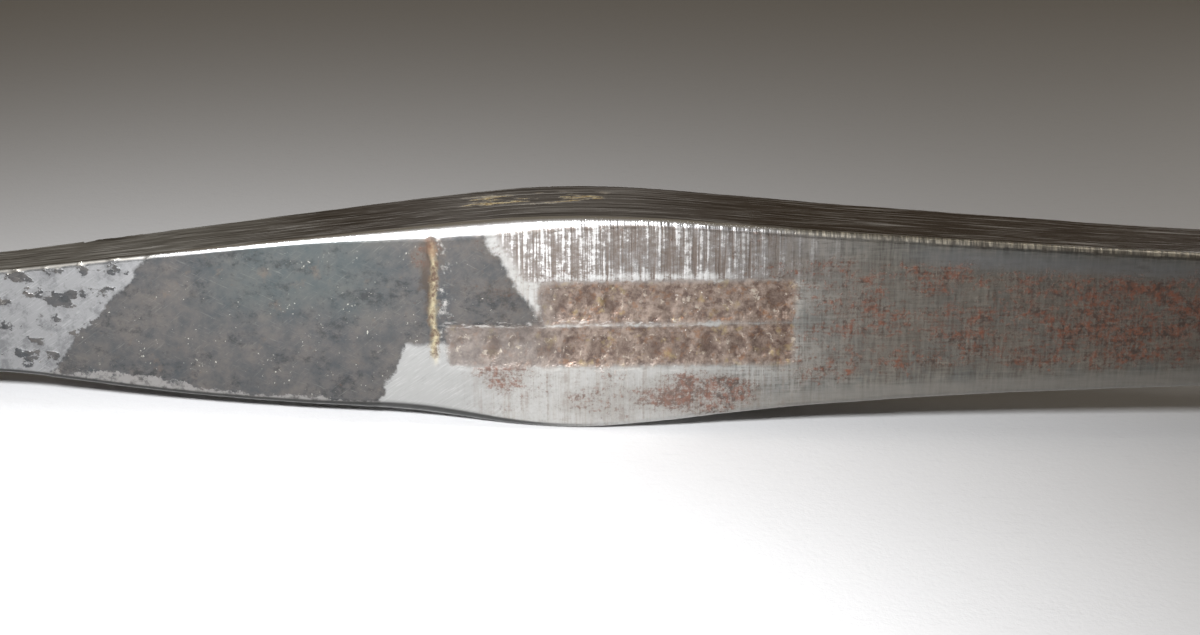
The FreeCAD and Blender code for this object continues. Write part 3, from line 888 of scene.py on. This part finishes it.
def outward(piece):
    """Turns a closed mesh's faces outwards."""
    work = bmesh.new()
    work.from_mesh(piece.data)
    bmesh.ops.recalc_face_normals(work, faces=work.faces)
    work.to_mesh(piece.data)
    work.free()
    return piece


def slot_cutter():
    """The fork's gap, open at the tip and round at its root."""
    half = guide_low.y
    turn = np.linspace(-0.5, 0.5, 17) * math.pi
    outline = [(SLOT_ROOT_X + half * math.cos(a), half * math.sin(a)) for a in turn]
    outline += [(TIP_X - 5 * MM, half), (TIP_X - 5 * MM, -half)]
    return prism("slot", outline, -20 * MM, 20 * MM, upright=True)


def notch_cutter(xs, tops, halves):
    """The small notch filed across the far top corner behind the head."""
    x = NECK_X + NOTCH_FROM_NECK
    top, back = float(np.interp(x, xs, tops)), float(np.interp(x, xs, halves))
    outline = [(x - 0.15 * MM, -back - NOTCH_DEPTH), (x, -back + NOTCH_DEPTH),
               (x + 2.4 * MM, -back - NOTCH_DEPTH)]
    return prism("notch", outline, top - 1 * MM, top + 5 * MM, upright=True)


def lip_cutter():
    """All that the file takes off the front half of the head, below the creasing lip and past its nose."""
    lip = cad_surface("creasing_prong")
    mid_y = (lip_low.y + lip_high.y) / 2
    nose = lip_low.x + from_nose(1.6 * MM, 0.03, 12)
    xs = np.concatenate([nose, np.linspace(nose[-1], SLOT_ROOT_X - 0.05 * MM, 16)[1:]])
    under = [(x, met(lip, x, mid_y, -FAR)) for x in xs]
    over = [(x, met(lip, x, mid_y, FAR)) for x in nose]
    beyond = 20 * MM
    outline = [*reversed(under), *over, (nose[-1], beyond), (TIP_X - beyond, beyond),
               (TIP_X - beyond, -beyond), (under[-1][0], -beyond)]
    return prism("lip_room", outline, -beyond, 0.0)


def blade():
    skin, (xs, tops, bottoms, halves) = blade_skin()
    piece = plain_mesh(skin, "forged_blade", relief_tree(), {"Material": blade_steel()})
    cut_away(piece, slot_cutter())
    cut_away(piece, lip_cutter())
    cut_away(piece, notch_cutter(xs, tops, halves))
    mesh = piece.data
    places = corners(mesh)
    above = (places[:, 2] - np.interp(places[:, 0], xs, bottoms)) / MM
    below = (np.interp(places[:, 0], xs, tops) - places[:, 2]) / MM
    for label, values in (("above_bottom", above), ("below_top", below)):
        store(mesh, label, values)
    mesh.set_sharp_from_angle(angle=math.radians(65))
    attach(piece, "root")
    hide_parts("blade", "creasing_prong", "guide_prong")
    return piece


# --- Turned pieces ---

def thinned(points, tolerance):
    """The outline with the points left out that lie within the tolerance of a straight run."""
    if len(points) < 3:
        return points
    start, end = np.array(points[0]), np.array(points[-1])
    way = (end - start) / max(np.linalg.norm(end - start), 1e-12)
    offsets = np.array(points) - start
    gaps = np.abs(offsets[:, 0] * way[1] - offsets[:, 1] * way[0])
    worst = int(gaps.argmax())
    if gaps[worst] < tolerance:
        return [points[0], points[-1]]
    return thinned(points[:worst + 1], tolerance)[:-1] + thinned(points[worst:], tolerance)


def radii(node, xs, from_axis=False):
    """(x, radius) points of a turned CAD node, met from outside or its axis, clear of the brads' holes."""
    surface = cad_surface(node)
    way = Vector((0, 1, 1)).normalized()
    found = []
    for x in xs:
        centre = Vector((x, 0, 0))
        start, aim = (centre, way) if from_axis else (centre + way * FAR, -way)
        found.append((float(x), (surface.ray_cast(start, aim)[0] - centre).length))
    return found


def filled_in(points, longest):
    """The outline with more points on its long runs, so that relief has something to move."""
    full = [points[0]]
    for start, end in zip(points, points[1:]):
        pieces = max(1, math.ceil(math.dist(start, end) / longest))
        run = np.array(end) - np.array(start)
        full += [tuple(np.array(start) + run * i / pieces) for i in range(1, pieces + 1)]
    return full


def handle_outline():
    """Half section of the handle: tenon, shoulder, grip and dome."""
    nudge = 0.01 * MM
    mouth, shoulder, butt = handle_low.x, ferrule_high.x, handle_high.x
    tenon = radii("handle", [(mouth + shoulder) / 2])[0][1]
    grip = radii("handle", np.arange(shoulder + nudge, butt - nudge, 0.05 * MM))
    outline = thinned(grip, 0.008 * MM)
    outline = filled_in(outline, 0.55 * MM)
    ease = 0.12 * MM
    start = outline[0]
    return [(mouth, 0.0), (mouth, tenon), (shoulder, tenon), (shoulder, start[1] - ease),
            (shoulder + ease, start[1])] + outline[1:] + [(butt, 0.0)]


def ferrule_outline():
    """The ferrule's whole section, from its lip over the wall and the bead and back through the bore."""
    nudge = 0.005 * MM
    start, end = ferrule_low.x, ferrule_high.x
    lip = start + nudge + from_nose(0.6 * MM, 0.0, 9)
    wall = np.arange(0.1 * MM, end - nudge, 0.05 * MM)
    outside = radii("ferrule", np.concatenate([lip, wall, [end - nudge]]))
    bore = [start + nudge, washer_low.x - nudge, washer_low.x + nudge, end - nudge]
    inside = radii("ferrule", bore, from_axis=True)
    outside = filled_in(thinned(outside, 0.006 * MM), 0.6 * MM)
    return outside + inside[::-1] + outside[:1]


def lathe_tree(name, relief):
    """Spins an outline about X, closes it and works its surface with the given relief."""
    tree = Tree(name, [("Outline", "NodeSocketObject", None), ("Stations", "NodeSocketInt", 2),
                       ("Around", "NodeSocketInt", 128), ("Material", "NodeSocketMaterial", None),
                       ("Relief", "NodeSocketFloat", 1.0)])
    stations_in = tree.given("Stations")
    around = tree.given("Around")
    grid = tree.add("GeometryNodeMeshGrid", {"Size X": 1.0, "Size Y": 1.0, "Vertices X": stations_in,
                                             "Vertices Y": around + 1.0})
    tree.geometry = grid.outputs["Mesh"]
    place = apart(tree.group, tree.add("GeometryNodeInputPosition").outputs[0])
    row = ((place[0] + 0.5) * (stations_in - 1.0)).rounded()
    angle = (place[1] + 0.5) * (2 * math.pi)
    outline = tree.add("GeometryNodeObjectInfo", {"Object": tree.source.outputs["Outline"]})
    wanted = {"Geometry": outline.outputs["Geometry"], "Index": row,
              "Value": tree.add("GeometryNodeInputPosition").outputs[0]}
    sample = tree.add("GeometryNodeSampleIndex", wanted, data_type="FLOAT_VECTOR", domain="POINT")
    x, _, radius = apart(tree.group, sample.outputs[0])
    spun = tree.add("ShaderNodeCombineXYZ", {0: x, 1: radius * angle.sine(), 2: radius * angle.cosine()})
    tree.through("GeometryNodeSetPosition", {"Position": spun.outputs[0]})
    tree.through("GeometryNodeMergeByDistance", {"Distance": 0.0005 * MM})
    tree.push_out(relief(tree.surface()) * tree.given("Relief"))
    return tree.finished()


def turned(name, outline, around, relief, material):
    """A piece turned from (x, radius) points, with its faces outwards."""
    line = linked("outline", mesh_of("outline", [(x, 0.0, r) for x, r in outline],
                                     edges=[(i, i + 1) for i in range(len(outline) - 1)]))
    base = linked("blank", mesh_of("blank", [(0, 0, 0)]))
    piece = plain_mesh(base, name, lathe_tree(name + "_lathe", relief),
                       {"Outline": line, "Stations": len(outline), "Around": around, "Material": material})
    bpy.data.objects.remove(line)
    outward(piece)
    piece.data.set_sharp_from_angle(angle=math.radians(38))
    return piece


def wood_relief(s):
    """Faint turning ripples, an old hand's hollows and a few dents, in millimetres."""
    outside = s.x.rise(ferrule_high.x / MM + 0.4, ferrule_high.x / MM + 1.6)
    ripples = (s.x * 5.2 + s.noise(5.0, 1.0) * 2.0).sine() * 0.006
    hollows = s.noise(13.0, 2.0, seed=1.0) * 0.1
    dents = s.grains(6.5, seed=2.0).rise(0.22, 0.0) * -0.1
    return (ripples + hollows + dents) * outside


def brass_relief(s):
    """Small knocks in the tube."""
    radius = (s.y * s.y + s.z * s.z).root()
    outside = radius.rise(ferrule_high.z / MM - 1.0, ferrule_high.z / MM - 0.6)
    return (s.noise(3.5, 2.0, seed=3.0) * 0.035 - s.grains(3.4, seed=5.0).rise(0.2, 0.0) * 0.05) * outside


def brad_cutters():
    """Two cylinders a little larger than the brads' heads, for the holes in the ferrule's wall."""
    low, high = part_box("ferrule_brads")
    radius = (high.x - low.x) / 2 + 0.02 * MM
    centre = (low.x + high.x) / 2
    turn = np.linspace(0, 2 * math.pi, 41)[:-1]
    outline = [(centre + radius * math.cos(a), radius * math.sin(a)) for a in turn]
    return [prism("brad_hole", outline, side * 4 * MM, side * 12 * MM) for side in (-1, 1)]


def handle():
    piece = turned("turned_handle", handle_outline(), 144, wood_relief, handle_wood())
    mesh = piece.data
    places = corners(mesh)
    radius = np.hypot(places[:, 1], places[:, 2])
    outline = np.array(handle_outline())
    order = np.argsort(outline[:, 0], kind="stable")
    x, r = outline[order, 0], outline[order, 1]
    xs = np.arange(x[0], x[-1], 0.1 * MM)
    full = np.interp(xs, x, r)
    hull = np.array([full[max(0, i - 16):i + 17].max() for i in range(len(xs))])
    hollow = np.clip((np.interp(places[:, 0], xs, hull) - radius) / (0.4 * MM), 0, 1)
    hollow *= np.clip((places[:, 0] - ferrule_high.x - 20 * MM) / (5 * MM), 0, 1)
    hollow *= np.clip((handle_high.x - 18 * MM - places[:, 0]) / (5 * MM), 0, 1)
    store(mesh, "hollow", hollow)
    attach(piece, "root")
    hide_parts("handle")
    return piece


def ferrule():
    piece = turned("brass_ferrule", ferrule_outline(), 160, brass_relief, brass("ferrule_brass", 0.6))
    for cutter in brad_cutters():
        cut_away(piece, cutter)
    piece.data.set_sharp_from_angle(angle=math.radians(38))
    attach(piece, "root")
    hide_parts("ferrule")
    return piece


def refinish(node, material):
    """Gives a CAD node that keeps its shape its own material."""
    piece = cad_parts[node]
    for place in piece.material_slots:
        place.material = material


# --- Stage, light and camera ---

FLOOR_REACH = 4.0
FLOOR_GAP = 0.01 * MM


def resting_line():
    """Slope and height of the surface that carries the tool, touching the belly and the handle's swell."""
    slope = 0.0
    wood = corners(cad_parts["handle"].data)
    for _ in range(4):
        belly = blade_corners[(blade_corners[:, 2] - slope * blade_corners[:, 0]).argmin()]
        swell = wood[(wood[:, 2] - slope * wood[:, 0]).argmin()]
        slope = (swell[2] - belly[2]) / (swell[0] - belly[0])
    return slope, belly[2] - slope * belly[0]


def stage():
    slope, height = resting_line()
    corner_places = [(x * FLOOR_REACH, y * FLOOR_REACH) for x, y in ((-1, -1), (1, -1), (1, 1), (-1, 1))]
    points = [(x, y, slope * x + height - FLOOR_GAP) for x, y in corner_places]
    floor = linked("floor", mesh_of("floor", points, [(0, 1, 2, 3)]))
    floor.data.materials.append(pale_sheet())


def lamp(name, place, aim, size, power, colour, spread):
    """A square soft light, turned towards a place, that reaches no further out than its spread."""
    data = bpy.data.lights.new(name, "AREA")
    data.size = size
    data.energy = power
    data.color = colour
    data.spread = math.radians(spread)
    light = bpy.data.objects.new(name, data)
    bpy.context.scene.collection.objects.link(light)
    light.location = place
    light.rotation_euler = (aim - place).to_track_quat("-Z", "Y").to_euler()
    light.visible_camera = False


def bearing(azimuth, elevation):
    """The direction from the tool to an onlooker. Azimuth 0 looks along +Y."""
    a, e = math.radians(azimuth), math.radians(elevation)
    return Vector((math.sin(a) * math.cos(e), -math.cos(a) * math.cos(e), math.sin(e)))


HORIZON = (0.046, 0.031, 0.018)
CEILING = (0.15, 0.128, 0.095)
LAMPS = {  # place and aim in metres, side in metres, power in watts, colour, spread in degrees
    "belly_lamp": ((BELLY_X - 21 * MM, -78 * MM, 47 * MM), (BELLY_X - 15 * MM, -26 * MM, -5 * MM),
                   0.01, 0.042, (0.98, 0.99, 1.0), 73),
    "handle_lamp": ((125 * MM, -80 * MM, 230 * MM), (95 * MM, 0, 0), 0.09, 0.036, (1.0, 0.98, 0.95), 44),
    "rear_lamp": ((140 * MM, 190 * MM, 160 * MM), (90 * MM, 0, 0), 0.07, 0.03, (1.0, 0.97, 0.93), 40),
}


def lights():
    """A small lamp close in front of the belly, two soft ones on the handle, and a room paler overhead."""
    for name, (place, aim, *rest) in LAMPS.items():
        lamp(name, Vector(place), Vector(aim), *rest)
    world = bpy.data.worlds.new("room")
    world.use_nodes = True
    tree = world.node_tree
    looking = apart(tree, tree.nodes.new("ShaderNodeTexCoord").outputs["Generated"])
    shade = mixed(tree, looking[2].rise(0.35, 0.85), HORIZON, CEILING)
    tree.links.new(shade, tree.nodes["Background"].inputs["Color"])
    bpy.context.scene.world = world


LENS = 60
SENSOR_WIDTH = 36
DISTANCE = 81.7 * MM
AZIMUTH, ELEVATION, ROLL = -1.3, 19.0, -0.06  # degrees


def camera():
    """Close in front of the belly and a little above it, with the middle of the blade filling the view."""
    data = bpy.data.cameras.new("camera")
    data.lens = LENS
    data.sensor_width = SENSOR_WIDTH
    data.clip_start = 1 * MM
    data.clip_end = 10
    aim = Vector((BELLY_X + 0.76 * MM, -2.6 * MM, 0.31 * MM))
    back = bearing(AZIMUTH, ELEVATION)
    eye = bpy.data.objects.new("camera", data)
    bpy.context.scene.collection.objects.link(eye)
    eye.location = aim + back * DISTANCE
    eye.rotation_mode = "QUATERNION"
    eye.rotation_quaternion = (-back).to_track_quat("-Z", "Y") @ Quaternion((0, 0, 1), math.radians(ROLL))
    bpy.context.scene.camera = eye


bpy.context.scene.view_settings.view_transform = "Standard"
blade()
handle()
ferrule()
refinish("bolster_washer", washer_steel())
refinish("ferrule_brads", brass("brad_brass", 0.2))
stage()
lights()
camera()
